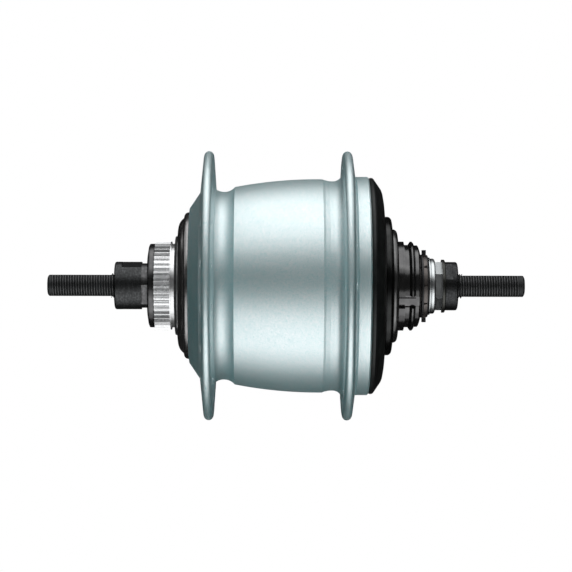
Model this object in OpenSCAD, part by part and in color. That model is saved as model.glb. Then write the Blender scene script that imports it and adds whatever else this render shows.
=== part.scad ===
// Internal gear hub for a rear bicycle wheel, drawn along its axle.
// X runs along the axle towards the driver, Z is up, and the origin is midway between the lock nuts.
// Two planetary stages sit inside the shell. The driver turns the first ring gear, whose planets
// carry the shared carrier. The carrier's second planets turn the ring gear that drives the shell.

/* [Axle] */
// length of the whole axle
axle_length = 184; // [178:1:190]
// distance between the outer faces of the two lock nuts
over_nuts = 132; // [130:0.5:135]
// outside diameter of the threaded ends
axle_d = 9.5; // [9:0.1:10]
// distance across the two flats of the ends
axle_flat = 8.2; // [7.6:0.1:8.6]
// diameter of the smooth middle that carries the gears
core_d = 12; // [11.6:0.1:12.2]

/* [Shell] */
// diameter of the crown next to the driver-side groove
crown_d = 82.4; // [82:0.1:82.8]
// diameter of the crown's edge next to the left flange
crown_edge_d = 76.3; // [76:0.1:76.7]
// thickness of a flange at its rounded rim
flange_rim = 3.6; // [3.2:0.1:3.8]
// thickness of a flange at its root
flange_root = 6; // [5.6:0.1:6.2]
// place of the left flange along the axle
flange_left_x = -29.7; // [-29.9:0.1:-29.6]
// place of the right flange along the axle
flange_right_x = 23.5; // [23.4:0.1:23.7]
// pitch circle of the spoke holes
spoke_circle_d = 92.6; // [91.6:0.2:94.6]
// distance from the circle of the spoke holes to the rim of its flange
spoke_edge = 5.6; // [5:0.1:6.4]
// diameter of a spoke hole
spoke_hole_d = 2.9; // [2.4:0.1:3]
// number of spoke holes in each flange
spoke_holes = 18; // [14, 16, 18]
// bore that takes the gears, from the driver side
shell_bore_d = 76.6; // [76.4:0.1:76.8]

/* [Gears] */
// module of every gear
gear_module = 1; // [0.97:0.01:1]
// amount that each tooth is thinner than the pure tooth, for backlash
tooth_thinning = 0.1; // [0.08:0.02:0.16]
// width of a sun gear or planet step
face_width = 3.7; // [3.3:0.1:3.8]
// diameter of a planet pin
pin_d = 5; // [4:0.2:5.2]
// diameter of a clutch roller
roller_d = 4; // [3.8:0.1:4]
// number of clutch rollers
rollers = 12; // [8:1:14]

/* [Bearings] */
// ball diameter of the two shell bearings
ball_d = 4.76; // [4.5:0.02:4.78]
// number of balls in the left shell bearing
left_ball_count = 9; // [7:1:10]
// number of balls in the right shell bearing
right_ball_count = 34; // [28:1:36]
// ball diameter of the driver bearing
driver_ball_d = 3.97; // [3.8:0.01:3.98]
// number of balls in the driver bearing
driver_ball_count = 11; // [8:1:12]

/* [Driver] */
// diameter of the sprocket seat and its ribs
seat_d = 34.4; // [34:0.1:34.8]
// diameter at the bottom of the snap ring groove
groove_d = 31.8; // [31.4:0.1:32.2]
// width of each of the three sprocket notches
notch_width = 4.8; // [4:0.1:5.4]
// diameter of the large dust cover
cover_large_d = 53.5; // [53:0.1:54]
// diameter of the small dust cover
cover_small_d = 43.8; // [43:0.1:44.6]

/* [Brake side] */
// diameter over the tips of the brake splines
spline_d = 34.4; // [34.2:0.1:34.6]
// diameter at the bottom of the brake splines
spline_root_d = 32.3; // [32:0.1:32.6]
// number of brake splines
splines = 50; // [40:1:54]
// diameter of the dust cover on the left cone
cone_cover_d = 32.3; // [31:0.1:33]
// diameter of the left dust cap
left_cap_d = 56.6; // [56.2:0.1:57.2]

/* [Fits] */
// radial play of a running fit
run_gap = 0.06; // [0.04:0.01:0.09]
// play between each ball and its track
ball_gap = 0.03; // [0.02:0.01:0.05]
// gap between pieces that pass without touching
pass_gap = 0.3; // [0.3:0.05:0.4]
// gap between a clutch roller and its race or cam
roller_gap = 0.01; // [0.01:0.01:0.03]

/* [Hidden] */
$fn = 72;
e = 0.01; // overlap that keeps cuts clean

axle_r = axle_d / 2;
core_r = core_d / 2;
bore_r = shell_bore_d / 2;
pin_r = pin_d / 2;
ball_r = ball_d / 2;
driver_ball_r = driver_ball_d / 2;
seat_r = seat_d / 2;
flange_tip_r = spoke_circle_d / 2 + spoke_edge - flange_rim / 2;
spline_root_r = spline_root_d / 2;

// Teeth. Ring minus planet equals sun plus step in both stages, and it divides by three planets,
// so every planet is a plain shifted copy of the first one.
ring_l_teeth = 60;
ring_r_teeth = 66;
drive_l_teeth = 15;
drive_r_teeth = 24;
step_r_teeth = 12;
sun_r_teeth = ring_r_teeth - drive_r_teeth - step_r_teeth;
step_l_teeth = [24, 17, 13];
sun_l_teeth = [for (t = step_l_teeth) ring_l_teeth - drive_l_teeth - t];
pressure_angle = 20;
addendum = 0.8 * gear_module;
dedendum = 1.0 * gear_module;
orbit_l = (ring_l_teeth - drive_l_teeth) / 2 * gear_module;
orbit_r = (ring_r_teeth - drive_r_teeth) / 2 * gear_module;

// Places along the axle, from left to right.
nut_left_x = -over_nuts / 2;
neck_x = -55.6;
cone_cover_x = -53.2;
spline_x = -50.35;
spline_end_x = -44.4;
left_ball_x = -46.4;
seal_x = -42.6;
boss_x = seal_x + 1;
left_face_x = -37.1;
left_wall_x = -33.5;
cam_x = -31.5;
web_l_x = -25.5;
core_x = -26;
stop_x = -25.2;
ring_l_x = -18.5;
step_x = [-11.7, -7, -2.3];
drive_l_x = -18.3;
plate_l_x = -22.8;
plate_m_x = 2.2;
stage_r_x = 6.4;
drive_r_x = 11.6;
plate_r_x = 17.6;
web_r_x = 22.2;
right_ball_x = 28.8;
shell_end_x = 31.6;
cap_face_x = 37.6;
cover_x = cap_face_x + pass_gap;
cover_step_x = 40.75;
seat_x = 42.7;
groove_x = 45.2;
driver_ball_x = 46.5;
driver_end_x = 51.5;
tab_ring_x = driver_end_x + pass_gap;
right_cone_x = 54.9;
washer_x = 60;
nut_right_x = 61.2;

plate_width = 3.4;
drive_width = 5.2;
plate_r = orbit_l + 5.1;
plate_bore_r = 9;
planet_hub_r = pin_r + 2.4;
sleeve_in_r = core_r + run_gap;
sleeve_r = sleeve_in_r + 0.94;
sun_bore_r = sleeve_r + run_gap;
ring_l_r = 34;
skirt_r = 32.6;
ring_r_r = 36.9;
left_pitch_r = 10.6;
right_pitch_r = 32.4;
driver_pitch_r = 9.9;
boss_bore_r = 15;
boss_r = 20;
cup_seat_r = 14.4;
driver_cup_r = 13.2;
seal_r = 9;
cover_seat_r = seat_r + 0.3;
pawl_width = 2.6;
pawl_top_r = 8.1;
lug_r = 16.2;
lug_root_r = 15.2;
lugs = 12;

flange_crown_x = -19.7;
groove_edge_x = 13.8;
flange_seat_l_r = crown_edge_d / 2 - 2;
flange_lean_l = -0.25;
flange_lean_r = 0.7;

// One-way clutch at the left, between the ring gear's web and the shell.
clutch_pitch_r = 28.5;
roller_r = roller_d / 2;
roller_length = web_l_x - cam_x - 2 * pass_gap;
race_r = clutch_pitch_r + 4.5;

steel = [0.62, 0.63, 0.65];
dark_steel = [0.25, 0.26, 0.28];
chrome = [0.85, 0.86, 0.88];
paint = [0.58, 0.62, 0.65];
black = [0.08, 0.08, 0.09];
bronze = [0.55, 0.42, 0.28];
brass = [0.72, 0.60, 0.35];

// ---- shared shapes

// A section drawn as [radius, place along the axle], turned round the axle.
module turned() rotate([0, 90, 0]) rotate_extrude() children();

// A ring between two places along the axle.
module tube(x0, x1, r_in, r_out) {
  turned() translate([r_in, x0]) square([r_out - r_in, x1 - x0]);
}

// A solid rod along the axle's direction, centred on it.
module rod(x0, x1, r) translate([x0, 0, 0]) rotate([0, 90, 0]) cylinder(h = x1 - x0, r = r);

// The section of a ring with rounded outer corners.
module band(x0, x1, r_in, r_out, left = 0, right = 0) {
  difference() {
    translate([r_in, x0]) square([r_out - r_in, x1 - x0]);
    if (left > 0) corner(r_out, x0, left, 0);
    if (right > 0) corner(r_out, x1, right, 1);
  }
}

// What a rounded corner takes away.
module corner(r, x, q, side) {
  translate([r - q, x]) mirror([0, side]) difference() {
    translate([0, -q]) square([2 * q, 2 * q]);
    translate([0, q]) circle(q);
  }
}

// Copies round the axle.
module around(count, start = 0) for (i = [0 : count - 1]) rotate([start + i * 360 / count, 0, 0]) children();

// Two flats cut across a turned piece, seen from the middle.
module flats(x0, x1, across, turn) {
  rotate([turn, 0, 0]) for (s = [-1, 1]) translate([x0, -30, s > 0 ? across / 2 : -across / 2 - 30])
    cube([x1 - x0, 60, 30]);
}

// The circle through three points, as [centre, radius].
function circle_through(a, b, c) =
  let (d = 2 * (a[0] * (b[1] - c[1]) + b[0] * (c[1] - a[1]) + c[0] * (a[1] - b[1])),
       u = ((a * a) * (b[1] - c[1]) + (b * b) * (c[1] - a[1]) + (c * c) * (a[1] - b[1])) / d,
       v = ((a * a) * (c[0] - b[0]) + (b * b) * (a[0] - c[0]) + (c * c) * (b[0] - a[0])) / d)
  [[u, v], norm(a - [u, v])];

// The disc of the circle through three points.
module disc_through(a, b, c) {
  found = circle_through(a, b, c);
  translate(found[0]) circle(found[1], $fn = 360);
}

// ---- gear teeth

function involute(angle) = tan(angle) * 180 / PI - angle;
function polar(r, angle) = [r * cos(angle), r * sin(angle)];

// Half the angle that a tooth takes at radius r. The thinning is negative for the gaps of a ring.
function half_tooth(teeth, r, thinning) =
  let (pitch_r = teeth * gear_module / 2, base_r = pitch_r * cos(pressure_angle))
  90 / teeth - thinning / 2 / pitch_r * 180 / PI + involute(pressure_angle)
  - involute(acos(min(1, base_r / r)));

// The outline of a gear with involute flanks, with a tooth centred at the phase angle.
function gear_outline(teeth, tip, root, thinning, phase) =
  let (pitch_r = teeth * gear_module / 2,
       base_r = pitch_r * cos(pressure_angle),
       tip_r = pitch_r + tip,
       root_r = pitch_r - root,
       start_r = max(base_r, root_r),
       flank = [for (k = [0 : 2]) start_r + (tip_r - start_r) * k / 2],
       foot = root_r < start_r - 0.02 ? [root_r] : [])
  [for (i = [0 : teeth - 1])
    let (mid = phase + i * 360 / teeth)
    each concat(
      [for (r = foot) polar(r, mid - half_tooth(teeth, start_r, thinning))],
      [for (r = flank) polar(r, mid - half_tooth(teeth, r, thinning))],
      [for (k = [2 : -1 : 0]) polar(flank[k], mid + half_tooth(teeth, flank[k], thinning))],
      [for (r = foot) polar(r, mid + half_tooth(teeth, start_r, thinning))])];

// A solid gear between two places along the axle.
module gear(teeth, x0, width, phase = 0) {
  translate([x0, 0, 0]) rotate([0, 90, 0]) linear_extrude(width)
    polygon(gear_outline(teeth, addendum, dedendum, tooth_thinning, phase));
}

// The hollow inside a ring gear. Its teeth are the gaps of the ring.
module ring_hollow(teeth, x0, width) {
  translate([x0, 0, 0]) rotate([0, 90, 0]) linear_extrude(width)
    polygon(gear_outline(teeth, dedendum, addendum, -tooth_thinning, 0));
}

// The outline of straight splines, with their flanks leaning in towards the tip.
function spline_outline(count, root_r, tip_r, share = 0.56, lean = 0.5) =
  [for (i = [0 : count - 1])
    let (mid = i * 360 / count, half = 180 / count * share)
    each [polar(root_r, mid - half), polar(tip_r, mid - half * lean),
          polar(tip_r, mid + half * lean), polar(root_r, mid + half)]];

// Notches inside a sun gear that the pawls catch.
module pawl_notches(x0, width) {
  around(6) translate([x0 - 1, -(pawl_width + 0.4) / 2, 0]) cube([width + 2, pawl_width + 0.4, pawl_top_r + 0.3]);
}

module sun(teeth, x0, width, phase) {
  difference() {
    gear(teeth, x0, width, phase);
    rod(x0 - 1, x0 + width + 1, sun_bore_r);
    pawl_notches(x0, width);
  }
}

// Where planet i of a stage stands. It keeps its orientation, as the tooth counts ask.
module at_planet(orbit, i) {
  translate([0, orbit * sin(120 * i), -orbit * cos(120 * i)]) children();
}

// ---- ball bearings

module ball_track(x, pitch, r) turned() translate([pitch, x]) circle(r + ball_gap);
module balls(count, x, pitch, r) around(count) translate([x, 0, pitch]) sphere(r);

module cage(x0, x1, r_in, r_out, count, x, pitch, r) {
  difference() {
    tube(x0, x1, r_in, r_out);
    balls(count, x, pitch, r + 0.1);
  }
}

// ---- axle and what is fixed to it

module axle() {
  tip = 1.2;
  end_x = axle_length / 2;
  color(black) difference() {
    turned() polygon([
      [0, -end_x], [axle_r - tip, -end_x], [axle_r, tip - end_x], [axle_r, core_x],
      [core_r, core_x], [core_r, right_cone_x], [axle_r, right_cone_x],
      [axle_r, end_x - tip], [axle_r - tip, end_x], [0, end_x]]);
    flats(-end_x - 1, nut_left_x - 1.5, axle_flat, 0);
    flats(over_nuts / 2 + 2, end_x + 1, axle_flat, 0);
    tube(stop_x, stop_x + 1, core_r - 0.7, core_r + 1);
    for (x = [step_x[2], stage_r_x]) pawl(x);
  }
}

// A pawl that stands out of its pocket in the axle into the sun above it.
module pawl(x) translate([x + 0.3, -pawl_width / 2, 3]) cube([face_width - 0.6, pawl_width, pawl_top_r - 3]);

module axle_pawls() color(dark_steel) for (x = [step_x[2], stage_r_x]) pawl(x);

module carrier_stop_ring() {
  color(dark_steel) difference() {
    tube(stop_x, stop_x + 1, core_r - 0.7, core_r + 2);
    translate([stop_x - 1, -1.5, -20]) cube([3, 3, 20]);
  }
}

module sun_l3() color(steel) sun(sun_l_teeth[2], step_x[2], face_width, 0);
module sun_r() color(steel) sun(sun_r_teeth, stage_r_x, face_width, 180 / sun_r_teeth);

module left_lock_nut() {
  color(black) difference() {
    turned() band(nut_left_x, neck_x, axle_r, 9.2, left = 0.8);
    flats(nut_left_x + 2.8, neck_x + e, 17, 18);
  }
}

module left_cone() {
  shoulder = left_pitch_r - 0.2;
  color(steel) difference() {
    turned() polygon([
      [axle_r, neck_x], [8.6, neck_x], [8.6, cone_cover_x], [8, cone_cover_x],
      [8, cone_cover_x + 2.8], [shoulder, cone_cover_x + 3.4], [shoulder, left_ball_x - 0.2],
      [left_pitch_r - 2.25, left_ball_x + 1.4], [left_pitch_r - 2.25, left_ball_x + 3], [axle_r, left_ball_x + 3]]);
    ball_track(left_ball_x, left_pitch_r, ball_r);
    flats(neck_x - e, cone_cover_x, 15, 118);
  }
}

module left_cone_cover() {
  r = cone_cover_d / 2;
  end_x = spline_x - pass_gap;
  color(black) difference() {
    turned() polygon([
      [8, cone_cover_x], [r - 3.5, cone_cover_x], [r - 0.95, cone_cover_x + 0.4],
      [r - 0.1, cone_cover_x + 0.8], [r, cone_cover_x + 1.2], [r, end_x], [8, end_x]]);
    tube(end_x - 0.9, end_x + 1, 11, r - 1);
  }
}

module right_cone() {
  color(chrome) difference() {
    union() {
      turned() {
        band(right_cone_x, right_cone_x + 0.55, axle_r, 11.1, right = 0.3);
        band(right_cone_x, right_cone_x + 2, axle_r, 10.3);
        band(right_cone_x + 0.75, right_cone_x + 2.35, axle_r, 10.65, left = 0.2, right = 0.8);
      }
      translate([right_cone_x + 1, 0, 0]) rotate([0, 90, 0]) cylinder(h = washer_x - right_cone_x - 1, r = 9.3, $fn = 6);
    }
    rod(right_cone_x - 1, washer_x + 1, axle_r);
  }
}

module right_lock_washer() {
  color(black) difference() {
    turned() band(washer_x, nut_right_x, axle_r, 10.25, right = 0.5);
    rotate([200, 0, 0]) translate([washer_x - 1, -2, 9.2]) cube([4, 4, 4]);
  }
}

module right_lock_nut() {
  color(black) difference() {
    turned() band(nut_right_x, over_nuts / 2, axle_r, 9.35, right = 0.8);
    flats(nut_right_x - e, nut_right_x + 2.75, 17, 49);
  }
}

// ---- shift sleeve, turned by the shifter

// A window that lets a pawl through at every position of the sleeve.
module sleeve_window(x0) {
  first = -86;
  last = 108;
  translate([x0, 0, 0]) rotate([0, 90, 0]) linear_extrude(face_width)
    polygon(concat([[0, 0]], [for (i = [0 : 6]) polar(20, 180 - (first + (last - first) * i / 6))]));
}

module shift_sleeve() {
  color(bronze) difference() {
    tube(step_x[0] - 0.3, tab_ring_x + 3, sleeve_in_r, sleeve_r);
    for (x = [step_x[2], stage_r_x]) sleeve_window(x);
  }
}

module shift_tab_ring() {
  color(bronze) {
    difference() {
      union() {
        turned() {
          band(tab_ring_x, tab_ring_x + 0.85, sleeve_r, 12.2, left = 0.3, right = 0.2);
          band(tab_ring_x, tab_ring_x + 2.2, sleeve_r, 11.85);
          band(tab_ring_x + 2.2, right_cone_x - pass_gap, sleeve_r, 12.05, right = 0.5);
        }
        for (s = [-1, 1]) translate([tab_ring_x + 0.7, -2.6, s > 0 ? 11 : -13.9]) cube([1.35, 5.2, 2.9]);
      }
      around(10, 16) translate([tab_ring_x + 0.85, -0.35, 11.35]) cube([1.35, 0.7, 1]);
    }
  }
}

module driver_race() {
  shoulder = driver_pitch_r - 0.5;
  color(steel) difference() {
    turned() polygon([
      [sleeve_r, driver_ball_x - 2.5], [driver_pitch_r - 1.9, driver_ball_x - 2.5],
      [driver_pitch_r - 1.9, driver_ball_x - 0.9], [shoulder, driver_ball_x + 0.3], [shoulder, driver_ball_x + 2.5],
      [seal_r - pass_gap, driver_ball_x + 2.9], [seal_r - pass_gap, tab_ring_x], [sleeve_r, tab_ring_x]]);
    ball_track(driver_ball_x, driver_pitch_r, driver_ball_r);
  }
}

// ---- driver and what turns with it

// Outline of the driver's lugs, which is also the hole for them in the ring gear.
module lug_outline() {
  polygon(spline_outline(lugs, lug_root_r, lug_r));
  circle(lug_root_r);
}

module driver() {
  web = 2.8;
  web_x = right_ball_x + 0.6;
  drum_r = right_pitch_r - 2.3;
  shoulder = right_pitch_r - 0.8;
  floor_r = groove_d / 2 - 0.9;
  color(black) difference() {
    union() {
      turned() difference() {
        polygon([
          [11, web_r_x - 1], [lug_root_r, web_r_x - 1], [lug_root_r, web_r_x + 3], [cover_seat_r, web_r_x + 3],
          [cover_seat_r, web_x], [drum_r - 3, web_x], [drum_r - 3, right_ball_x - 2.6], [drum_r, right_ball_x - 2.6],
          [drum_r, right_ball_x - 1.6], [shoulder, right_ball_x + 0.2], [shoulder, web_x + web], [cover_seat_r, web_x + web],
          [cover_seat_r, seat_x], [seat_r, seat_x], [seat_r, groove_x], [groove_d / 2, groove_x + 0.1], [groove_d / 2, groove_x + 1.7],
          [seat_r - 0.1, groove_x + 2.5], [seat_r, groove_x + 2.7], [seat_r, groove_x + 3.2], [seat_r - 0.55, groove_x + 3.7],
          [groove_d / 2 - 0.15, groove_x + 4.1], [groove_d / 2 - 0.15, driver_end_x - 1],
          [groove_d / 2 - 0.55, driver_end_x - 0.7], [groove_d / 2 - 1.6, driver_end_x - 0.3],
          [driver_cup_r, driver_end_x], [driver_cup_r, driver_ball_x - 3.3], [11, driver_ball_x - 3.3]]);
        translate([right_pitch_r, right_ball_x]) circle(ball_r + ball_gap);
      }
      translate([web_r_x - 1, 0, 0]) rotate([0, 90, 0]) linear_extrude(4) difference() {
        lug_outline();
        circle(14);
      }
    }
    around(3, 112) {
      difference() {
        translate([seat_x - e, -notch_width / 2, floor_r]) cube([groove_x + 4.1 - seat_x, notch_width, 5]);
        translate([seat_x - 1, -0.6, floor_r - 1]) cube([groove_x + 6 - seat_x, 1.8, 1.6]);
      }
      translate([groove_x + 4, -notch_width / 2 + 0.4, floor_r + 0.5]) cube([5, notch_width - 0.8, 5]);
    }
  }
}

module ring_gear_r() {
  color(steel) difference() {
    turned() polygon([
      [ring_r_r, drive_r_x - 0.4], [ring_r_r, web_r_x + 2.9], [seat_r - 3, web_r_x + 2.9],
      [seat_r - 3, web_r_x], [ring_r_r - 2, web_r_x], [ring_r_r - 2, drive_r_x + 5.4],
      [30, drive_r_x + 5.4], [30, drive_r_x - 0.4]]);
    ring_hollow(ring_r_teeth, drive_r_x - 1, 7);
    translate([web_r_x - 1, 0, 0]) rotate([0, 90, 0]) linear_extrude(5) lug_outline();
    around(6, 15) translate([web_r_x - 1, 0, 25]) rotate([0, 90, 0]) cylinder(h = 5, r = 4);
  }
}

module driver_cover_large() {
  r = cover_large_d / 2;
  color(black) turned() difference() {
    union() {
      band(cover_x, cover_step_x - 0.3, cover_seat_r, r, right = 1.5);
      band(cover_x, cover_step_x, cover_seat_r, cover_small_d / 2 + 0.9);
      band(cover_x - 1.6, cover_x + 1, r - 3, r - 1.85);
    }
    translate([cover_seat_r + 1.5, cover_x - 1]) square([r - 4.5 - cover_seat_r, 2.2]);
  }
}

module driver_cover_small() {
  color(black) turned() band(cover_step_x, seat_x, cover_seat_r, cover_small_d / 2, right = 1.6);
}

module driver_cup() {
  open_r = driver_pitch_r + 2.1;
  shoulder = driver_pitch_r + 0.6;
  color(steel) difference() {
    turned() polygon([
      [driver_cup_r, driver_ball_x - 3.3], [driver_cup_r, driver_ball_x + 2.9], [open_r, driver_ball_x + 2.9],
      [open_r, driver_ball_x + 0.9], [shoulder, driver_ball_x - 0.3], [shoulder, driver_ball_x - 3.3]]);
    ball_track(driver_ball_x, driver_pitch_r, driver_ball_r);
  }
}

module driver_seal() color(black) turned() band(driver_end_x - 1.8, driver_end_x - 0.4, seal_r, driver_cup_r);

// ---- shell and what turns with it

// How far out a place on a flange is, from 0 at its rim to 1 at the left one's root.
function flange_depth(r) = (flange_tip_r - r) / (flange_tip_r - flange_seat_l_r);

// A face of a flange, which widens evenly from its rounded rim to its root and leans outwards.
function flange_face(x, lean, side, r) =
  x + lean * flange_depth(r) + side / 2 * (flange_rim + (flange_root - flange_rim) * flange_depth(r));

// A spoke flange from its seat outwards, with a ring of spoke holes that starts at an angle.
// What else belongs to its section comes as children.
module flange(x, lean, root_r, turn) {
  rim = flange_rim / 2;
  color(paint) difference() {
    turned() {
      translate([flange_tip_r, x]) circle(rim);
      polygon([[root_r, flange_face(x, lean, -1, root_r)], [flange_tip_r, x - rim],
               [flange_tip_r, x + rim], [root_r, flange_face(x, lean, 1, root_r)]]);
      children();
    }
    around(spoke_holes, turn) translate([x - flange_root, 0, spoke_circle_d / 2])
      rotate([0, 90, 0]) cylinder(h = 2 * flange_root, r = spoke_hole_d / 2);
  }
}

module shell_section() {
  crown_r = crown_d / 2;
  edge_r = crown_edge_d / 2;
  root_x = flange_face(flange_left_x, flange_lean_l, 1, flange_seat_l_r);
  fillet_x = flange_right_x - 5.6;
  // left wall, boss and the first cylinder under the left flange
  polygon([[boss_bore_r, boss_x], [boss_r, boss_x], [boss_r, left_face_x], [30, left_face_x],
           [flange_seat_l_r, flange_face(flange_left_x, flange_lean_l, -1, flange_seat_l_r)],
           [flange_seat_l_r, root_x], [36.2, -24.4], [36.2, flange_crown_x + 1],
           [race_r + 2.6, flange_crown_x + 1], [race_r, flange_crown_x - 0.6],
           [race_r, left_wall_x], [boss_bore_r, left_wall_x]]);
  // groove between the left flange and the crown
  difference() {
    polygon([[35, root_x], [flange_seat_l_r, root_x], [edge_r, flange_face(flange_left_x, flange_lean_l, 1, edge_r)],
             [edge_r, flange_crown_x], [35, flange_crown_x]]);
    disc_through([edge_r - 1.25, -26.5], [36.25, -24.4], [edge_r, flange_crown_x]);
  }
  // crown
  intersection() {
    polygon([[35.6, flange_crown_x], [44, flange_crown_x], [44, groove_edge_x], [bore_r, groove_edge_x],
             [bore_r, -3], [36.3, -12.6], [35.6, flange_crown_x + 1]]);
    disc_through([edge_r, flange_crown_x], [crown_r - 0.43, 0.2], [crown_r, groove_edge_x]);
  }
  // groove next to the right flange, which a fillet joins to it
  difference() {
    polygon([[bore_r, groove_edge_x], [crown_r, groove_edge_x], [crown_r - 0.36, groove_edge_x + 0.9],
             [crown_r - 0.72, groove_edge_x + 2.5], [crown_r - 0.82, fillet_x], [crown_r + 2, fillet_x],
             [crown_r + 2, flange_face(flange_right_x, flange_lean_r, -1, crown_r + 2)],
             [bore_r, flange_face(flange_right_x, flange_lean_r, -1, bore_r)]]);
    translate([crown_r + 2.98, fillet_x]) circle(3.8);
  }
}

module hub_shell() color(paint) turned() shell_section();

module left_flange() flange(flange_left_x, flange_lean_l, flange_seat_l_r, 0);

// The right flange is one ring with the end of the shell, which takes the bearing cup and the dust cap.
module right_flange() {
  low_r = crown_d / 2 + 0.6;
  end_r = crown_d / 2 + 0.93;
  flange(flange_right_x, flange_lean_r, bore_r, 180 / spoke_holes)
    polygon([[bore_r, flange_right_x], [low_r, flange_right_x],
             [low_r, flange_face(flange_right_x, flange_lean_r, 1, low_r)], [end_r, flange_right_x + 3.3],
             [end_r, shell_end_x - 0.5], [end_r - 0.4, shell_end_x], [bore_r, shell_end_x]]);
}

module brake_spline_ring() {
  color(chrome) difference() {
    union() {
      turned() {
        band(spline_end_x - 0.5, seal_x, 12.6, spline_root_r);
        band(spline_end_x, spline_end_x + 0.4, 12.6, spline_d / 2 - 0.2);
        band(seal_x, left_wall_x, 12.6, boss_bore_r);
      }
      translate([spline_x, 0, 0]) rotate([0, 90, 0]) linear_extrude(spline_end_x - spline_x)
        polygon(spline_outline(splines, spline_root_r, spline_d / 2, 0.92, 0.12));
    }
    rod(spline_x - 1, left_ball_x + 3.4, cup_seat_r);
    rod(spline_x, left_wall_x + 1, 12.6);
  }
}

module left_seal_disc() color(black) turned() band(seal_x, boss_x, boss_bore_r, 19.1, left = 0.4);

module left_dust_cap() {
  r = left_cap_d / 2;
  color(black) turned() difference() {
    union() {
      intersection() {
        translate([boss_r, boss_x]) square([r - boss_r - 1.2, left_face_x - boss_x]);
        translate([r - 6.25, left_face_x + 0.5]) circle(4.9);
      }
      band(left_face_x - 2.1, left_face_x, boss_r, r, left = 1.6);
    }
    translate([r - 5.55, left_face_x - 1.4]) square([3, 2.4]);
  }
}

module left_cup() {
  open_r = left_pitch_r + 2.2;
  color(steel) difference() {
    turned() polygon([
      [cup_seat_r, left_ball_x - 2.2], [cup_seat_r, left_ball_x + 3.4], [left_pitch_r + 0.3, left_ball_x + 3.4],
      [left_pitch_r + 0.3, left_ball_x + 0.2], [open_r, left_ball_x - 1.4], [open_r, left_ball_x - 2.2]]);
    ball_track(left_ball_x, left_pitch_r, ball_r);
  }
}

module right_cup() {
  open_r = right_pitch_r + 2.5;
  shoulder = right_pitch_r + 0.8;
  color(steel) difference() {
    turned() polygon([
      [bore_r, right_ball_x - 3.4], [bore_r, shell_end_x - 1], [open_r, shell_end_x - 1],
      [open_r, right_ball_x + 1.6], [shoulder, right_ball_x - 0.2], [shoulder, right_ball_x - 3.4]]);
    ball_track(right_ball_x, right_pitch_r, ball_r);
  }
}

module right_dust_cap() {
  r = crown_d / 2 + 0.55;
  opening = cover_large_d / 2 - 1.35;
  color(black) turned() difference() {
    polygon([
      [opening, cap_face_x], [opening + 4.5, cap_face_x - 0.15], [r - 7.7, cap_face_x - 0.5],
      [r - 5.5, cap_face_x - 0.9], [r - 4.5, cap_face_x - 1.3], [r - 0.5, cap_face_x - 4],
      [r, cap_face_x - 4.6], [r, shell_end_x + 0.7], [r - 0.4, shell_end_x], [bore_r, shell_end_x],
      [bore_r, shell_end_x - 1], [bore_r - 1.8, shell_end_x - 1], [bore_r - 1.8, cap_face_x - 4.6],
      [bore_r - 4, cap_face_x - 2.9], [opening, cap_face_x - 1.7]]);
    for (x = [0.95, 1.4]) translate([r, shell_end_x + x]) square([0.4, 0.25], center = true);
  }
}

module ring_gear_l() {
  gear_end_x = ring_l_x + 5.7;
  color(steel) difference() {
    turned() polygon([
      [20, web_l_x], [skirt_r, web_l_x], [skirt_r, ring_l_x], [ring_l_r, ring_l_x], [ring_l_r, gear_end_x],
      [26, gear_end_x], [26, ring_l_x], [skirt_r - 1.4, ring_l_x], [skirt_r - 1.4, web_l_x + 1.5], [20, web_l_x + 1.5]]);
    ring_hollow(ring_l_teeth, ring_l_x - 1, 8);
  }
}

module clutch_race() color(steel) tube(left_wall_x, web_l_x - pass_gap, clutch_pitch_r + roller_r + roller_gap, race_r);

// Each roller wedges between a flat of the cam and the race.
module clutch_cam() {
  color(steel) difference() {
    tube(cam_x, web_l_x, clutch_pitch_r - 8.5, clutch_pitch_r - 1.1);
    around(rollers) translate([cam_x - 1, -roller_d, clutch_pitch_r - roller_r - roller_gap]) cube([8, 2 * roller_d, roller_d]);
  }
}

module clutch_rollers() {
  color(steel) around(rollers) translate([cam_x + pass_gap, 0, clutch_pitch_r])
    rotate([0, 90, 0]) cylinder(h = roller_length, r = roller_r);
}

module clutch_cage() {
  color(brass) difference() {
    tube(cam_x - 1, web_l_x - 0.2, clutch_pitch_r - 0.7, clutch_pitch_r + 1.2);
    around(rollers) translate([cam_x + pass_gap, -roller_r, clutch_pitch_r - 3]) cube([roller_length, roller_d, 6]);
  }
}

// ---- carrier

// Three posts between the planets, and the bars of the frame.
module posts(x0, x1, r_in) {
  half = 12;
  r_out = 27;
  for (i = [0 : 2]) difference() {
    intersection() {
      tube(x0, x1, r_in, r_out);
      translate([x0, 0, 0]) rotate([0, 90, 0]) linear_extrude(x1 - x0)
        polygon([[0, 0], polar(40, 60 + 120 * i - half), polar(40, 60 + 120 * i + half)]);
    }
  }
}

module plate(x0, bore, orbit) {
  difference() {
    tube(x0, x0 + plate_width, bore, plate_r);
    for (i = [0 : 2]) at_planet(orbit, i) rod(x0 - 1, x0 + plate_width + 1, pin_r);
  }
}

module carrier_frame() {
  middle = plate_m_x + plate_width;
  color(dark_steel) {
    difference() {
      tube(plate_m_x, middle, sun_bore_r, plate_r);
      for (i = [0 : 2]) {
        at_planet(orbit_l, i) rod(plate_m_x - 1, plate_m_x + plate_width / 2, pin_r);
        at_planet(orbit_r, i) rod(plate_m_x + plate_width / 2, middle + 1, pin_r);
      }
    }
    posts(plate_l_x + plate_width, plate_m_x, 18.6);
    posts(middle, plate_r_x, 17.6);
  }
}

module carrier_left_plate() {
  color(dark_steel) {
    plate(plate_l_x, plate_bore_r, orbit_l);
    tube(stop_x + 1.3, step_x[0] - 0.6, sleeve_in_r, plate_bore_r);
  }
}

module carrier_right_plate() color(dark_steel) plate(plate_r_x, sun_bore_r, orbit_r);

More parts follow.
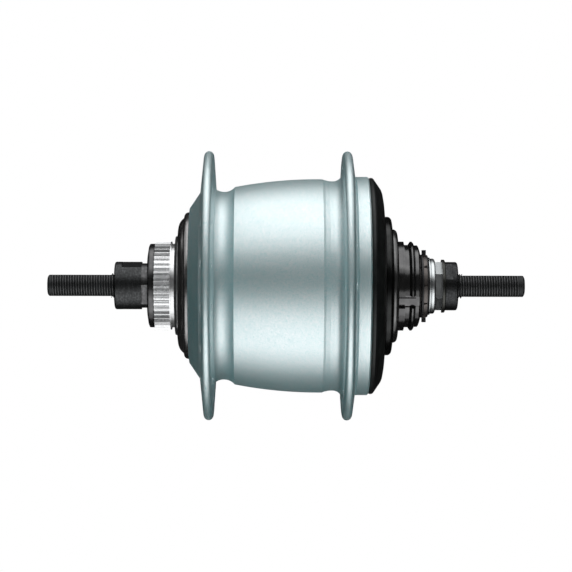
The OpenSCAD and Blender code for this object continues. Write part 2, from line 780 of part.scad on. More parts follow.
module planet_pins_l() {
  color(steel) for (i = [0 : 2]) at_planet(orbit_l, i) rod(plate_l_x, plate_m_x + plate_width / 2, pin_r);
}

module planet_pins_r() {
  color(steel) for (i = [0 : 2]) at_planet(orbit_r, i) rod(plate_m_x + plate_width / 2, plate_r_x + plate_width, pin_r);
}

// ---- planets and free suns

module planet_l(i) {
  color(steel) at_planet(orbit_l, i) difference() {
    union() {
      rod(plate_l_x + plate_width + 0.2, plate_m_x - 0.2, planet_hub_r);
      gear(drive_l_teeth, drive_l_x, drive_width);
      for (k = [0 : 2]) gear(step_l_teeth[k], step_x[k], face_width);
    }
    rod(plate_l_x, plate_m_x + 1, pin_r + run_gap);
  }
}

module planet_r(i) {
  color(steel) at_planet(orbit_r, i) difference() {
    union() {
      rod(plate_m_x + plate_width + 0.2, plate_r_x - 0.2, 4.4);
      gear(step_r_teeth, stage_r_x, face_width + 0.5);
      gear(drive_r_teeth, drive_r_x, drive_width);
    }
    rod(plate_m_x, plate_r_x + 1, pin_r + run_gap);
  }
}

module planet_l1() planet_l(0);
module planet_l2() planet_l(1);
module planet_l3() planet_l(2);
module planet_r1() planet_r(0);
module planet_r2() planet_r(1);
module planet_r3() planet_r(2);

module sun_l1() color(steel) sun(sun_l_teeth[0], step_x[0], face_width, 180 / sun_l_teeth[0]);
module sun_l2() color(steel) sun(sun_l_teeth[1], step_x[1], face_width, 0);

// ---- balls and cages

module left_cage() {
  color(brass) cage(left_ball_x - 3, left_ball_x - 0.5, left_pitch_r + 0.2, left_pitch_r + 1.8,
    left_ball_count, left_ball_x, left_pitch_r, ball_r);
}
module left_balls() color(chrome) balls(left_ball_count, left_ball_x, left_pitch_r, ball_r);

module right_cage() {
  color(brass) cage(right_ball_x + 0.6, right_ball_x + 3, right_pitch_r - 0.4, right_pitch_r + 1.6,
    right_ball_count, right_ball_x, right_pitch_r, ball_r);
}
module right_balls() color(chrome) balls(right_ball_count, right_ball_x, right_pitch_r, ball_r);

module driver_cage() {
  color(brass) cage(driver_ball_x + 0.6, driver_ball_x + 2.4, driver_pitch_r - 0.15, driver_pitch_r + 1.6,
    driver_ball_count, driver_ball_x, driver_pitch_r, driver_ball_r);
}
module driver_balls() color(chrome) balls(driver_ball_count, driver_ball_x, driver_pitch_r, driver_ball_r);

axle();
left_lock_nut();
left_cone();
left_cone_cover();
right_cone();
right_lock_washer();
right_lock_nut();
sun_l3();
sun_r();
axle_pawls();
carrier_stop_ring();
shift_sleeve();
shift_tab_ring();
driver_race();
driver();
ring_gear_r();
driver_cover_large();
driver_cover_small();
driver_cup();
driver_seal();
hub_shell();
left_flange();
right_flange();
brake_spline_ring();
left_seal_disc();
left_dust_cap();
left_cup();
right_cup();
right_dust_cap();
ring_gear_l();
clutch_race();
clutch_cam();
clutch_rollers();
clutch_cage();
carrier_frame();
carrier_left_plate();
carrier_right_plate();
planet_pins_l();
planet_pins_r();
planet_l1();
planet_l2();
planet_l3();
planet_r1();
planet_r2();
planet_r3();
sun_l1();
sun_l2();
left_cage();
left_balls();
right_cage();
right_balls();
driver_cage();
driver_balls();
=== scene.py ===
"""Looks of an internal gear hub: threaded axle ends, finishes for every piece, studio and camera."""

import math

import bmesh
import bpy
from mathutils import Matrix, Vector


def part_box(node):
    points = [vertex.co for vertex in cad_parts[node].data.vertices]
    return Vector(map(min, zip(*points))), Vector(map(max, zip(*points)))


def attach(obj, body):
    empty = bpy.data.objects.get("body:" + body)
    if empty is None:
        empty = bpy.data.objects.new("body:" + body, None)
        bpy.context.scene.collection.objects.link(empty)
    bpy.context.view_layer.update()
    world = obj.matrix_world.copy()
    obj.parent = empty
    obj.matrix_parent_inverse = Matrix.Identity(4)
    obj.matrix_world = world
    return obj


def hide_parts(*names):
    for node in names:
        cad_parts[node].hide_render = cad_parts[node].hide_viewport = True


bl_info = {
    "name": "Internal Gear Hub",
    "version": (1, 0, 0),
    "blender": (4, 5, 0),
    "location": "3D View > Sidebar > Gear Hub",
    "description": "Dresses the packed model of an internal gear hub and sets its studio",
    "category": "Object",
}

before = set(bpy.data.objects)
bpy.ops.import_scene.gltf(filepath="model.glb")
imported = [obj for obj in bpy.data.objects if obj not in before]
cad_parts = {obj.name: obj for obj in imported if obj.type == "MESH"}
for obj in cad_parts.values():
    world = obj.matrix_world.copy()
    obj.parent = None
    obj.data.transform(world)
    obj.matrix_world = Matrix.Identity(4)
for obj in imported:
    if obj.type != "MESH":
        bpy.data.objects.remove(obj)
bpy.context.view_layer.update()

MM = 0.001
AXLE_LOW, AXLE_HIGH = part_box("axle")
LEFT_NUT_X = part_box("left_lock_nut")[0].x
RIGHT_NUT_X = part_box("right_lock_nut")[1].x

# Radius over the thread's crests, and how far the threaded ends reach into the lock nuts.
THREAD_RADIUS = 4.75 * MM
THREAD_IN_NUT = 3.0 * MM
# Where the thick middle of the axle starts and ends.
AXLE_SHOULDERS = (-26.0 * MM, 54.9 * MM)
# Where the bronze band of the tab ring starts and ends, and its outer radius.
BRONZE_BAND_X = (52.6 * MM, 54.05 * MM)
BRONZE_BAND_RADIUS = 12.3 * MM

# The studio, in metres: radius of the dark sheets round the axle, and half their length along it.
FLAG_RADIUS = 1.6
FLAG_REACH = 2.2
# Half the gap that the low sheets leave for the lower softbox.
FLAG_GAP = 1.0
# Brightness of the dark sheets, where 1 is white.
FLAG_DARK = 0.01
FLAG_FRONT = 0.05
FLAG_END = 0.005
# Radius of the floor, and how bright it is to the camera before any light falls on it.
FLOOR_RADIUS = 2.4
FLOOR_GLOW = 0.62
# The picture's width in pixels, and how far the axle stands over its middle.
PICTURE_WIDTH = 572.0
AXLE_RISE = 0.2


# Shader maths and finishes


class Value:
    """A number socket that Python operators work on. Each operator adds one Math node."""

    def __init__(self, graph, socket):
        self.graph = graph
        self.socket = socket

    def _math(self, operation, *terms):
        terms = [t.socket if isinstance(t, Value) else t for t in terms]
        node = self.graph.node("ShaderNodeMath", {"operation": operation}, dict(enumerate(terms)))
        return Value(self.graph, node.outputs[0])

    def __add__(self, other):
        return self._math("ADD", self, other)

    def __radd__(self, other):
        return self._math("ADD", other, self)

    def __sub__(self, other):
        return self._math("SUBTRACT", self, other)

    def __rsub__(self, other):
        return self._math("SUBTRACT", other, self)

    def __mul__(self, other):
        return self._math("MULTIPLY", self, other)

    def __rmul__(self, other):
        return self._math("MULTIPLY", other, self)

    def __truediv__(self, other):
        return self._math("DIVIDE", self, other)

    def __rtruediv__(self, other):
        return self._math("DIVIDE", other, self)

    def at_least(self, low):
        return self._math("MAXIMUM", self, low)

    def at_most(self, high):
        return self._math("MINIMUM", self, high)

    def root(self):
        return self._math("SQRT", self)

    def step(self, low, high):
        """0 below low, 1 above high, and smooth between."""
        node = self.graph.node(
            "ShaderNodeMapRange",
            {"interpolation_type": "SMOOTHSTEP"},
            {"Value": self.socket, "From Min": low, "From Max": high, "To Min": 0.0, "To Max": 1.0},
        )
        return Value(self.graph, node.outputs["Result"])


class Graph:
    """A node tree that starts empty. Every node is added by one method."""

    def __init__(self, tree):
        self.tree = tree
        self.tree.nodes.clear()

    def node(self, kind, settings=None, inputs=None):
        """Adds a node, sets its settings, then its values or links."""
        node = self.tree.nodes.new(kind)
        for key, value in (settings or {}).items():
            setattr(node, key, value)
        for key, value in (inputs or {}).items():
            socket = node.inputs[key]
            if isinstance(value, Value):
                value = value.socket
            if isinstance(value, bpy.types.NodeSocket):
                self.link(value, socket)
            elif hasattr(value, "__len__") and len(value) == 3 and socket.type == "RGBA":
                socket.default_value = (*value, 1.0)
            else:
                socket.default_value = value
        return node

    def link(self, source, target):
        self.tree.links.new(source, target)


class Finish(Graph):
    """A procedural material for one kind of surface, built on Object coordinates in metres."""

    def __init__(self, name):
        self.material = bpy.data.materials.new(name)
        self.material.use_nodes = True
        super().__init__(self.material.node_tree)
        self.shader = self.node("ShaderNodeBsdfPrincipled")
        self.node("ShaderNodeOutputMaterial", {}, {"Surface": self.shader.outputs["BSDF"]})
        self.coordinates = self.node("ShaderNodeTexCoord").outputs["Object"]
        parts = self.node("ShaderNodeSeparateXYZ", {}, {"Vector": self.coordinates})
        self.x, self.y, self.z = (Value(self, parts.outputs[axis]) for axis in "XYZ")
        self.radius = (self.y * self.y + self.z * self.z).root()

    def stretched(self, scale):
        """Object coordinates scaled along each axis, for grain that runs one way."""
        return self.node("ShaderNodeMapping", {}, {"Vector": self.coordinates, "Scale": scale}).outputs[0]

    def noise(self, scale, detail=2.0, roughness=0.5, vector=None):
        inputs = {"Scale": scale, "Detail": detail, "Roughness": roughness}
        inputs["Vector"] = vector or self.coordinates
        return Value(self, self.node("ShaderNodeTexNoise", {}, inputs).outputs["Fac"])

    def flakes(self, scale):
        """A random value for each small cell, like the flakes in a metallic paint."""
        cells = self.node("ShaderNodeTexVoronoi", {}, {"Vector": self.coordinates, "Scale": scale})
        split = self.node("ShaderNodeSeparateColor", {}, {"Color": cells.outputs["Color"]})
        return Value(self, split.outputs[0])

    def turned_lines(self, pitch):
        """Fine uneven lines round the axle, as a lathe leaves them, with a pitch in mm."""
        along = (self.x + self.radius * 0.83) / (pitch * MM)
        points = self.node("ShaderNodeCombineXYZ", {}, {"X": along}).outputs[0]
        return self.noise(1.0, 3.0, 0.65, points)

    def mix(self, factor, first, second):
        """A colour between two colours."""
        return self.node("ShaderNodeMix", {"data_type": "RGBA"}, {0: factor, 6: first, 7: second}).outputs[2]

    def bump(self, height, distance, strength=1.0, under=None):
        """A Bump node's normal for a height in 0..1, over the normal of a coarser bump."""
        inputs = {"Height": height, "Distance": distance, "Strength": strength}
        if under is not None:
            inputs["Normal"] = under
        return self.node("ShaderNodeBump", {}, inputs).outputs[0]

    def surface(self, **sockets):
        """Sets or links the shader's own sockets, with underscores for spaces."""
        for key, value in sockets.items():
            socket = self.shader.inputs[key.replace("_", " ").title()]
            value = value.socket if isinstance(value, Value) else value
            if isinstance(value, bpy.types.NodeSocket):
                self.link(value, socket)
            elif hasattr(value, "__len__"):
                socket.default_value = (*value, 1.0)
            else:
                socket.default_value = value
        return self.material


def metallic_paint(name, silver, binder, roughness):
    """Satin metallic paint: fine silver flakes in a dark tinted binder, with a slight orange peel."""
    f = Finish(name)
    flake = f.flakes(15000.0).step(0.05, 0.45)
    coarse = f.flakes(4300.0)
    cloud = f.noise(55.0, 3.0)
    peel = f.noise(900.0, 2.0)
    dull = tuple(c * 0.9 for c in silver)
    return f.surface(
        base_color=f.mix(flake, binder, f.mix(coarse * 0.6 + cloud * 0.4, dull, silver)),
        metallic=flake,
        roughness=roughness - 0.03 + cloud * 0.03 + coarse * 0.05,
        normal=f.bump(peel, 0.00002, 0.15, f.bump(coarse, 0.000004, 0.2)),
    )


def turned_metal(name, colour, roughness, pitch, depth, metallic=1.0, patch=0.12):
    """Bright or plated metal off a lathe, with fine lines, faint stains and handling marks."""
    f = Finish(name)
    lines = f.turned_lines(pitch)
    stain = f.noise(180.0, 4.0, 0.6)
    smear = f.noise(2600.0, 2.0)
    darker = tuple(c * (1.0 - 2.2 * patch) for c in colour)
    tone = (lines * 0.5 + stain * 0.5).step(0.22, 0.78)
    return f.surface(
        base_color=f.mix(tone, darker, colour),
        metallic=metallic,
        roughness=roughness + stain * 0.1 + lines * 0.06 - 0.06,
        normal=f.bump(lines, depth * MM, 0.6, f.bump(smear, 0.000004, 0.4)),
    )


def mottled_black(name, colour, light, roughness, grain_scale=420.0):
    """Blackened steel: cloudy oxide, light scuffs and a rough grain."""
    f = Finish(name)
    cloud = f.noise(grain_scale, 5.0, 0.62)
    scuff = f.noise(1.0, 4.0, 0.7, f.stretched((1500.0, 260.0, 260.0)))
    grain = f.noise(5200.0, 2.0)
    worn = (cloud * 0.62 + scuff * 0.38).step(0.42, 0.66)
    return f.surface(
        base_color=f.mix(worn, colour, light),
        metallic=0.9,
        roughness=roughness + grain * 0.1 - worn * 0.07,
        normal=f.bump(grain, 0.000015, 0.6, f.bump(cloud, 0.00003, 0.5)),
    )


def pressed_black(name, colour, light, roughness, metallic=0.9):
    """Black plated sheet metal: smooth, with faint press lines, dust specks and a few rubbed spots."""
    f = Finish(name)
    lines = f.turned_lines(0.35)
    rubbed = f.noise(230.0, 4.0, 0.6)
    speck = f.noise(6500.0, 1.0)
    tone = (lines * 0.4 + rubbed * 0.6).step(0.4, 0.75)
    return f.surface(
        base_color=f.mix(tone, colour, light),
        metallic=metallic,
        roughness=roughness + rubbed * 0.12 - 0.06,
        normal=f.bump(lines, 0.000012, 0.35, f.bump(speck, 0.000004, 0.5)),
    )


def thread_black(name, colour, crest, low_radius, high_radius):
    """Blackened thread whose crests are rubbed paler."""
    f = Finish(name)
    worn = f.radius.step(low_radius, high_radius)
    grime = f.noise(700.0, 4.0, 0.6)
    grain = f.noise(6000.0, 2.0)
    return f.surface(
        base_color=f.mix((worn * (grime * 0.8 + 0.35)).at_most(1.0), colour, crest),
        metallic=0.7,
        roughness=0.46 + grime * 0.14 - worn * 0.08,
        normal=f.bump(grain, 0.00001, 0.5),
    )


def soft_rubber(name, colour, light):
    """Matte seal rubber with a fine grain and dust."""
    f = Finish(name)
    dust = f.noise(900.0, 4.0, 0.7)
    return f.surface(
        base_color=f.mix(dust.step(0.45, 0.8), colour, light),
        roughness=0.62 + dust * 0.2,
        normal=f.bump(f.noise(5000.0, 2.0), 0.00001, 0.6),
    )


def banded_ring(name, black, bronze, band_x, band_radius):
    """Black ring with a band of worn bronze between two places along the axle, under a radius."""
    f = Finish(name)
    stain = f.noise(500.0, 4.0, 0.65)
    lines = f.turned_lines(0.18)
    edge = 0.12 * MM
    band = f.x.step(band_x[0], band_x[0] + edge) * (1.0 - f.x.step(band_x[1] - edge, band_x[1]))
    band = band * (1.0 - f.radius.step(band_radius, band_radius + edge)) * (stain.step(0.2, 0.5) * 0.6 + 0.4)
    return f.surface(
        base_color=f.mix(band, black, bronze),
        metallic=0.55 + band * 0.3,
        roughness=0.32 + stain * 0.16,
        normal=f.bump(lines, 0.000008, 0.5, f.bump(stain, 0.00002, 0.4)),
    )


def dress(material, *nodes):
    """Gives CAD nodes a material, on every slot that they have."""
    for name in nodes:
        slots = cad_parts[name].material_slots
        if not len(slots):
            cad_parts[name].data.materials.append(material)
        for entry in slots:
            entry.material = material


# Mesh helpers


def finished(bm, name, material, body, slot, *replaced):
    """Turns a bmesh into a piece of the object that rides on a body. Edges over 35 degrees stay sharp."""
    bmesh.ops.remove_doubles(bm, verts=bm.verts, dist=1e-7)
    bmesh.ops.recalc_face_normals(bm, faces=bm.faces)
    for face in bm.faces:
        face.smooth = True
    sharp = math.radians(35.0)
    for edge in bm.edges:
        edge.smooth = len(edge.link_faces) == 2 and edge.calc_face_angle(0.0) < sharp
    mesh = bpy.data.meshes.new(name)
    bm.to_mesh(mesh)
    bm.free()
    piece = bpy.data.objects.new(name, mesh)
    bpy.context.scene.collection.objects.link(piece)
    mesh.materials.append(material)
    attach(piece, body)
    if replaced:
        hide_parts(*replaced)
    return piece


def revolve(bm, section, steps=96):
    """Turns an open section of (x, radius) points round the axle."""
    points = [bm.verts.new((x, 0.0, radius)) for x, radius in section]
    edges = [bm.edges.new(pair) for pair in zip(points, points[1:])]
    bmesh.ops.spin(
        bm,
        geom=points + edges,
        axis=(1.0, 0.0, 0.0),
        cent=(0.0, 0.0, 0.0),
        angle=math.tau,
        steps=steps,
        use_merge=True,
    )


def cut_flat(bm, height, low_x, high_x):
    """Planes off what stands above and below a height, between two places along the axle."""
    for side in (1.0, -1.0):
        near = [
            item
            for item in list(bm.verts) + list(bm.edges) + list(bm.faces)
            if all(low_x <= v.co.x <= high_x for v in getattr(item, "verts", [item]))
        ]
        cut = bmesh.ops.bisect_plane(
            bm,
            geom=near,
            plane_co=(0.0, 0.0, side * height),
            plane_no=(0.0, 0.0, side),
            clear_outer=True,
        )
        edges = [e for e in cut["geom_cut"] if isinstance(e, bmesh.types.BMEdge)]
        bmesh.ops.holes_fill(bm, edges=edges, sides=0)


# Sizes and colours that a user may change


class AxleSizes(bpy.types.PropertyGroup):
    pitch: bpy.props.FloatProperty(
        name="Thread pitch", description="Distance between two crests", default=1.0 * MM, unit="LENGTH"
    )
    depth: bpy.props.FloatProperty(
        name="Thread depth", description="Height of a crest over the root", default=0.58 * MM, unit="LENGTH"
    )
    flat: bpy.props.FloatProperty(
        name="Across flats", description="Distance between the two flats", default=8.2 * MM, unit="LENGTH"
    )
    bevel: bpy.props.FloatProperty(
        name="Tip bevel", description="Length of the bevel at each end", default=1.2 * MM, unit="LENGTH"
    )
    colour: bpy.props.FloatVectorProperty(
        name="Black",
        description="Colour of the blackened thread",
        subtype="COLOR",
        default=(0.03, 0.032, 0.033),
    )


class ShellSizes(bpy.types.PropertyGroup):
    colour: bpy.props.FloatVectorProperty(
        name="Flakes",
        description="Colour of the paint's flakes",
        subtype="COLOR",
        default=(0.82, 0.862, 0.87),
    )
    dark: bpy.props.FloatVectorProperty(
        name="Binder",
        description="Colour of the paint round the flakes",
        subtype="COLOR",
        default=(0.0, 0.47, 0.51),
    )
    roughness: bpy.props.FloatProperty(
        name="Paint roughness", description="How satin the paint is", default=0.46, min=0.05, max=1.0
    )


class StageSizes(bpy.types.PropertyGroup):
    camera_distance: bpy.props.FloatProperty(
        name="Camera distance", description="From the lens to the axle", default=0.87, unit="LENGTH"
    )
    view_width: bpy.props.FloatProperty(
        name="View width",
        description="Width that the picture covers at the axle",
        default=0.2211,
        unit="LENGTH",
    )
    floor_drop: bpy.props.FloatProperty(
        name="Floor drop", description="Height of the axle over the floor", default=0.42, unit="LENGTH"
    )
    lamp_above: bpy.props.FloatProperty(
        name="Upper softbox",
        description="How bright the softbox above looks, where 1 is white",
        default=1.03,
        min=0.0,
    )
    lamp_below: bpy.props.FloatProperty(
        name="Lower softbox",
        description="How bright the softbox below looks, where 1 is white",
        default=1.0,
        min=0.0,
    )
    camera_left: bpy.props.FloatProperty(
        name="Camera to the left",
        description="How far the lens stands to the left of the middle",
        default=0.006,
        min=0.0,
        unit="LENGTH",
    )
    camera_roll: bpy.props.FloatProperty(
        name="Camera roll",
        description="How far the camera leans",
        default=math.radians(-0.13),
        subtype="ANGLE",
    )
    fill: bpy.props.FloatProperty(
        name="Fill light", description="Strength of the even light from all round", default=0.2, min=0.0
    )


# Pieces


def threaded_end(bm, sizes, outer_x, nut_x):
    """One threaded end: a core with a bevelled tip and a centre hole, and the ridge wound round it."""
    major = THREAD_RADIUS
    side = 1.0 if outer_x > 0 else -1.0
    root = major - sizes.depth
    inner_x = nut_x - side * THREAD_IN_NUT
    tip = sizes.bevel
    revolve(
        bm,
        [
            (inner_x, 0.0),
            (inner_x, root),
            (outer_x - side * (tip + 0.5 * MM), root),
            (outer_x - side * tip * 0.55, root - 0.05 * MM),
            (outer_x - side * tip * 0.2, root - 0.42 * MM),
            (outer_x, root - 0.95 * MM),
            (outer_x, 1.3 * MM),
            (outer_x - side * 0.9 * MM, 0.35 * MM),
            (outer_x - side * 0.9 * MM, 0.0),
        ],
    )
    length = abs(outer_x - inner_x) - tip * 0.9
    turns = int(length / sizes.pitch)
    half = sizes.pitch * 0.44
    steps = 40
    flank = [(half, root - 0.1 * MM), (half * 0.96, root), (half * 0.16, major)]
    ridge = [(-x, radius) for x, radius in flank] + flank[::-1]
    points = [bm.verts.new((inner_x + x, 0.0, radius)) for x, radius in ridge]
    face = bm.faces.new(points)
    bmesh.ops.spin(
        bm,
        geom=[face] + list(face.edges) + points,
        axis=(1.0, 0.0, 0.0),
        cent=(0.0, 0.0, 0.0),
        dvec=(side * sizes.pitch / steps, 0.0, 0.0),
        angle=math.tau * turns * side,
        steps=steps * turns,
        use_duplicate=False,
    )


class GEARHUB_OT_axle(bpy.types.Operator):
    """Makes the axle with its threaded, flatted ends"""

    bl_idname = "gearhub.axle"
    bl_label = "Threaded Axle"

    def execute(self, context):
        sizes = context.scene.gearhub_axle
        core = (AXLE_HIGH.z - AXLE_LOW.z) / 2
        bm = bmesh.new()
        for outer_x, nut_x in ((AXLE_LOW.x, LEFT_NUT_X), (AXLE_HIGH.x, RIGHT_NUT_X)):
            threaded_end(bm, sizes, outer_x, nut_x)
        # The flats end a little outside the lock nuts.
        cut_flat(bm, sizes.flat / 2, AXLE_LOW.x - 1.0, LEFT_NUT_X - 1.5 * MM)
        cut_flat(bm, sizes.flat / 2, RIGHT_NUT_X + 2.0 * MM, AXLE_HIGH.x + 1.0)
        left, right = LEFT_NUT_X + THREAD_IN_NUT, RIGHT_NUT_X - THREAD_IN_NUT
        shoulder_left, shoulder_right = AXLE_SHOULDERS
        neck = THREAD_RADIUS - 0.01 * MM
        revolve(
            bm,
            [
                (left, 0.0),
                (left, neck),
                (shoulder_left, neck),
                (shoulder_left, core),
                (shoulder_right, core),
                (shoulder_right, neck),
                (right, neck),
                (right, 0.0),
            ],
        )
        crest = (0.17, 0.172, 0.175)
        material = thread_black(
            "thread_black", tuple(sizes.colour), crest, THREAD_RADIUS - 0.3 * MM, THREAD_RADIUS
        )
        finished(bm, "threaded_axle", material, "axle", "steel_black", "axle")
        return {"FINISHED"}


class GEARHUB_OT_fixed_pieces(bpy.types.Operator):
    """Finishes the nuts, cones and washers that stay still on the axle"""

    bl_idname = "gearhub.fixed_pieces"
    bl_label = "Nuts and Cones"

    def execute(self, context):
        dress(
            mottled_black("nut_black", (0.03, 0.031, 0.032), (0.065, 0.068, 0.07), 0.36, 1400.0),
            "left_lock_nut",
        )
        dress(
            mottled_black("nut_black_fine", (0.022, 0.023, 0.024), (0.048, 0.05, 0.052), 0.33, 1600.0),
            "right_lock_nut",
        )
        dress(mottled_black("cone_black", (0.07, 0.07, 0.072), (0.13, 0.13, 0.134), 0.3, 1200.0), "left_cone")
        dress(
            pressed_black("cone_cover_black", (0.07, 0.07, 0.072), (0.13, 0.13, 0.13), 0.24),
            "left_cone_cover",
        )
        dress(turned_metal("cone_zinc", (0.6, 0.63, 0.64), 0.27, 0.12, 0.006), "right_cone")
        dress(
            pressed_black("washer_black", (0.04, 0.041, 0.038), (0.08, 0.08, 0.074), 0.34),
            "right_lock_washer",
        )
        return {"FINISHED"}


class GEARHUB_OT_shell(bpy.types.Operator):
    """Finishes the painted shell and what is seated in it"""

    bl_idname = "gearhub.shell"
    bl_label = "Shell"

    def execute(self, context):
        sizes = context.scene.gearhub_shell
        dress(
            metallic_paint("shell_paint_satin", tuple(sizes.colour), tuple(sizes.dark), sizes.roughness),
            "hub_shell",
            "left_flange",
            "right_flange",
        )
        dress(turned_metal("spline_chrome", (0.92, 0.93, 0.94), 0.25, 0.1, 0.004, 0.7), "brake_spline_ring")
        dress(
            soft_rubber("seal_rubber", (0.012, 0.012, 0.013), (0.03, 0.03, 0.03)),
            "left_seal_disc",
            "driver_seal",
        )
        dress(
            pressed_black("left_cap_black", (0.2, 0.197, 0.197), (0.3, 0.293, 0.293), 0.24),
            "left_dust_cap",
        )
        dress(
            pressed_black("right_cap_black", (0.012, 0.014, 0.014), (0.03, 0.033, 0.033), 0.42, 0.5),
            "right_dust_cap",
        )
        return {"FINISHED"}


class GEARHUB_OT_driver(bpy.types.Operator):
    """Finishes the driver, its dust covers and the shift ring"""

    bl_idname = "gearhub.driver"
    bl_label = "Driver"

    def execute(self, context):
        dress(pressed_black("driver_black", (0.075, 0.075, 0.076), (0.138, 0.138, 0.138), 0.17), "driver")
        # The two dust covers share one black finish, made in two copies: the large cover's copy is darker as
        # painted shade, and the small cover's is lighter as a painted highlight.
        dress(
            pressed_black("cover_black_shaded_large", (0.018, 0.019, 0.019), (0.038, 0.038, 0.038), 0.24),
            "driver_cover_large",
        )
        # Lighter copy of the covers' black, as a painted highlight.
        dress(
            pressed_black("cover_black_lit_small", (0.11, 0.111, 0.111), (0.18, 0.18, 0.18), 0.25),
            "driver_cover_small",
        )
        dress(turned_metal("sleeve_bronze", (0.3, 0.22, 0.15), 0.36, 0.15, 0.006, 0.9), "shift_sleeve")
        dress(
            banded_ring(
                "tab_ring_black",
                (0.03, 0.03, 0.031),
                (0.115, 0.103, 0.098),
                BRONZE_BAND_X,
                BRONZE_BAND_RADIUS,
            ),
            "shift_tab_ring",
        )
        return {"FINISHED"}


class GEARHUB_OT_gears(bpy.types.Operator):
    """Finishes the gears, carrier, clutch and bearings inside the shell"""

    bl_idname = "gearhub.gears"
    bl_label = "Gears and Bearings"

    def execute(self, context):
        planets = [f"planet_{stage}{i}" for stage in "lr" for i in (1, 2, 3)]
        dress(
            turned_metal("gear_steel", (0.42, 0.43, 0.45), 0.3, 0.2, 0.008),
            "sun_l3", "sun_r", "sun_l1", "sun_l2", "ring_gear_l", "ring_gear_r", *planets,
        )
        dress(
            mottled_black("carrier_steel", (0.2, 0.2, 0.21), (0.34, 0.34, 0.35), 0.36, 300.0),
            "carrier_frame", "carrier_left_plate", "carrier_right_plate", "axle_pawls", "carrier_stop_ring",
            "clutch_cam",
        )
        dress(
            turned_metal("race_steel", (0.66, 0.67, 0.69), 0.12, 0.08, 0.002),
            "left_cup", "right_cup", "driver_cup", "driver_race", "clutch_race", "clutch_rollers",
            "planet_pins_l", "planet_pins_r", "left_balls", "right_balls", "driver_balls",
        )
        dress(
            turned_metal("cage_brass", (0.62, 0.47, 0.24), 0.3, 0.2, 0.004),
            "left_cage", "right_cage", "driver_cage", "clutch_cage",
        )
        return {"FINISHED"}


def flag(name, bm, shade):
    """Turns a bmesh into a dark sheet of the studio that only reflections see."""
    mesh = bpy.data.meshes.new(name)
    bm.to_mesh(mesh)
    bm.free()
    obj = bpy.data.objects.new(name, mesh)
    bpy.context.scene.collection.objects.link(obj)
    material = bpy.data.materials.new(name)
    material.use_nodes = True
    graph = Graph(material.node_tree)
    glow = graph.node("ShaderNodeEmission", {}, {"Color": (shade, shade, shade)})
    graph.node("ShaderNodeOutputMaterial", {}, {"Surface": glow.outputs[0]})
    mesh.materials.append(material)
    obj.visible_camera = False
    obj.visible_diffuse = False
    obj.visible_shadow = False
    obj.visible_transmission = False


def curved_flag(name, start, sweep, shade, low_x=-FLAG_REACH, high_x=FLAG_REACH):
    """A dark curved sheet round the axle. Angles are over the camera's horizon, in degrees."""
    bm = bmesh.new()
    ends = [bm.verts.new((x, -FLAG_RADIUS, 0.0)) for x in (low_x, high_x)]
    edge = bm.edges.new(ends)
    lift = Matrix.Rotation(-math.radians(start), 3, "X")
    bmesh.ops.rotate(bm, verts=ends, cent=(0.0, 0.0, 0.0), matrix=lift)
    bmesh.ops.spin(
        bm,
        geom=ends + [edge],
        axis=(-1.0, 0.0, 0.0),
        cent=(0.0, 0.0, 0.0),
        angle=math.radians(sweep),
        steps=16,
    )
    flag(name, bm, shade)


def end_flag(name, x, shade):
    """A dark round sheet that closes one end of the studio."""
    bm = bmesh.new()
    bmesh.ops.create_circle(bm, cap_ends=True, segments=32, radius=FLAG_RADIUS)
    turn = Matrix.Translation((x, 0.0, 0.0)) @ Matrix.Rotation(math.pi / 2, 4, "Y")
    bmesh.ops.transform(bm, verts=bm.verts, matrix=turn)
    flag(name, bm, shade)


def softbox(name, angle, distance, size, radiance):
    """An area lamp that faces the axle from an angle over the camera's horizon, in degrees."""
    lamp = bpy.data.lights.new(name, "AREA")
    lamp.shape = "RECTANGLE"
    lamp.size, lamp.size_y = size
    lamp.energy = radiance * size[0] * size[1] * math.pi
    obj = bpy.data.objects.new(name, lamp)
    bpy.context.scene.collection.objects.link(obj)
    turn = math.radians(angle)
    towards = Vector((0.0, -math.cos(turn), math.sin(turn)))
    obj.location = towards * distance
    obj.rotation_euler = (math.radians(90.0) - turn, 0.0, 0.0)
    obj.visible_camera = False


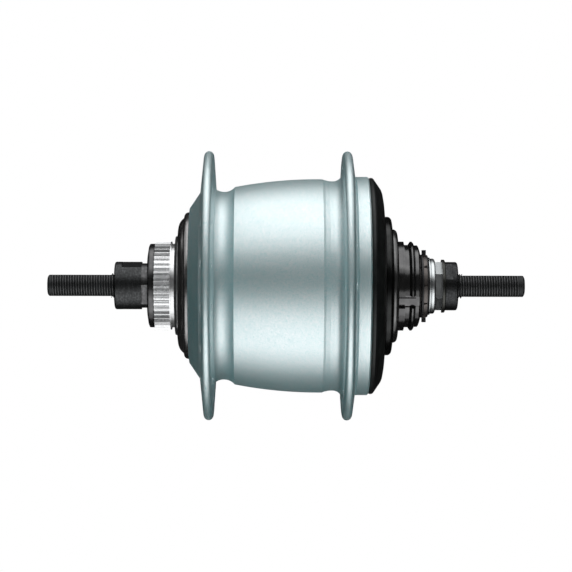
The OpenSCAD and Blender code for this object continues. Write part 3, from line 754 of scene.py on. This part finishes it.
class GEARHUB_OT_stage(bpy.types.Operator):
    """Makes the floor, the world, the lamps and the camera"""

    bl_idname = "gearhub.stage"
    bl_label = "Studio"

    def execute(self, context):
        scene = context.scene
        sizes = scene.gearhub_stage
        scene.view_settings.view_transform = "Standard"

        world = bpy.data.worlds.new("studio")
        scene.world = world
        world.use_nodes = True
        graph = Graph(world.node_tree)
        path = graph.node("ShaderNodeLightPath")
        seen = Value(graph, path.outputs["Is Camera Ray"])
        for ray in ("Is Glossy Ray", "Is Transmission Ray"):
            seen = seen.at_least(Value(graph, path.outputs[ray]))
        even, white = (
            graph.node("ShaderNodeBackground", {}, {"Color": (1.0, 1.0, 1.0), "Strength": strength})
            for strength in (sizes.fill, 1.0)
        )
        mix = graph.node("ShaderNodeMixShader", {}, {0: seen, 1: even.outputs[0], 2: white.outputs[0]})
        graph.node("ShaderNodeOutputWorld", {}, {"Surface": mix.outputs[0]})

        bm = bmesh.new()
        bmesh.ops.create_circle(bm, cap_ends=True, segments=96, radius=FLOOR_RADIUS)
        bmesh.ops.translate(bm, verts=bm.verts, vec=(0.0, 0.0, -sizes.floor_drop))
        mesh = bpy.data.meshes.new("floor")
        bm.to_mesh(mesh)
        bm.free()
        floor = bpy.data.objects.new("floor", mesh)
        scene.collection.objects.link(floor)
        pale = Finish("floor_pale")
        cloud = pale.noise(2.0, 2.0)
        seen = Value(pale, pale.node("ShaderNodeLightPath").outputs["Is Camera Ray"])
        mesh.materials.append(
            pale.surface(
                base_color=pale.mix(cloud, (0.9, 0.9, 0.9), (0.94, 0.94, 0.94)),
                roughness=0.8,
                emission_color=pale.mix(seen, (0.0, 0.0, 0.0), (FLOOR_GLOW,) * 3),
                emission_strength=1.0,
            )
        )
        floor.visible_glossy = False

        # The dark bands on the paint, at the middle, the top and the bottom, come from these sheets.
        curved_flag("flag_front", -14.0, 48.0, FLAG_FRONT)
        curved_flag("flag_rear", 122.0, 136.0, FLAG_DARK)
        curved_flag("flag_low_left", -98.0, 86.0, FLAG_DARK, -FLAG_REACH, -FLAG_GAP)
        curved_flag("flag_low_right", -98.0, 86.0, FLAG_DARK, FLAG_GAP, FLAG_REACH)
        end_flag("flag_left", 0.1 - FLAG_REACH, FLAG_END)
        end_flag("flag_right", FLAG_REACH - 0.1, FLAG_END)
        softbox("softbox_above", 80.0, 1.2, (1.0, 1.6), sizes.lamp_above)
        softbox("softbox_below", -55.5, 0.5, (0.8, 0.48), sizes.lamp_below)

        camera = bpy.data.cameras.new("camera")
        camera.sensor_width = 36.0
        camera.lens = 36.0 * sizes.camera_distance / sizes.view_width
        camera.clip_start, camera.clip_end = 0.01, 20.0
        camera.shift_x = sizes.camera_left / sizes.view_width
        camera.shift_y = -AXLE_RISE / PICTURE_WIDTH
        obj = bpy.data.objects.new("camera", camera)
        scene.collection.objects.link(obj)
        obj.location = (-sizes.camera_left, -sizes.camera_distance, 0.0)
        obj.rotation_euler = (math.radians(90.0), sizes.camera_roll, 0.0)
        scene.camera = obj
        return {"FINISHED"}


# The add-on

OPERATORS = (
    GEARHUB_OT_stage,
    GEARHUB_OT_axle,
    GEARHUB_OT_fixed_pieces,
    GEARHUB_OT_shell,
    GEARHUB_OT_driver,
    GEARHUB_OT_gears,
)


class GEARHUB_PT_pieces(bpy.types.Panel):
    """Lists the pieces and their sizes"""

    bl_label = "Gear Hub"
    bl_idname = "GEARHUB_PT_pieces"
    bl_space_type = "VIEW_3D"
    bl_region_type = "UI"
    bl_category = "Gear Hub"

    def draw(self, context):
        for operator in OPERATORS:
            self.layout.operator(operator.bl_idname)
        for group in (context.scene.gearhub_axle, context.scene.gearhub_shell, context.scene.gearhub_stage):
            box = self.layout.box()
            for name in group.__annotations__:
                box.prop(group, name)


CLASSES = (AxleSizes, ShellSizes, StageSizes, *OPERATORS, GEARHUB_PT_pieces)


def register():
    for cls in CLASSES:
        bpy.utils.register_class(cls)
    bpy.types.Scene.gearhub_axle = bpy.props.PointerProperty(type=AxleSizes)
    bpy.types.Scene.gearhub_shell = bpy.props.PointerProperty(type=ShellSizes)
    bpy.types.Scene.gearhub_stage = bpy.props.PointerProperty(type=StageSizes)


def unregister():
    for name in ("gearhub_axle", "gearhub_shell", "gearhub_stage"):
        delattr(bpy.types.Scene, name)
    for cls in reversed(CLASSES):
        bpy.utils.unregister_class(cls)


def main():
    register()
    for operator in OPERATORS:
        group, name = operator.bl_idname.split(".")
        getattr(getattr(bpy.ops, group), name)()


if __name__ == "__main__":
    main()
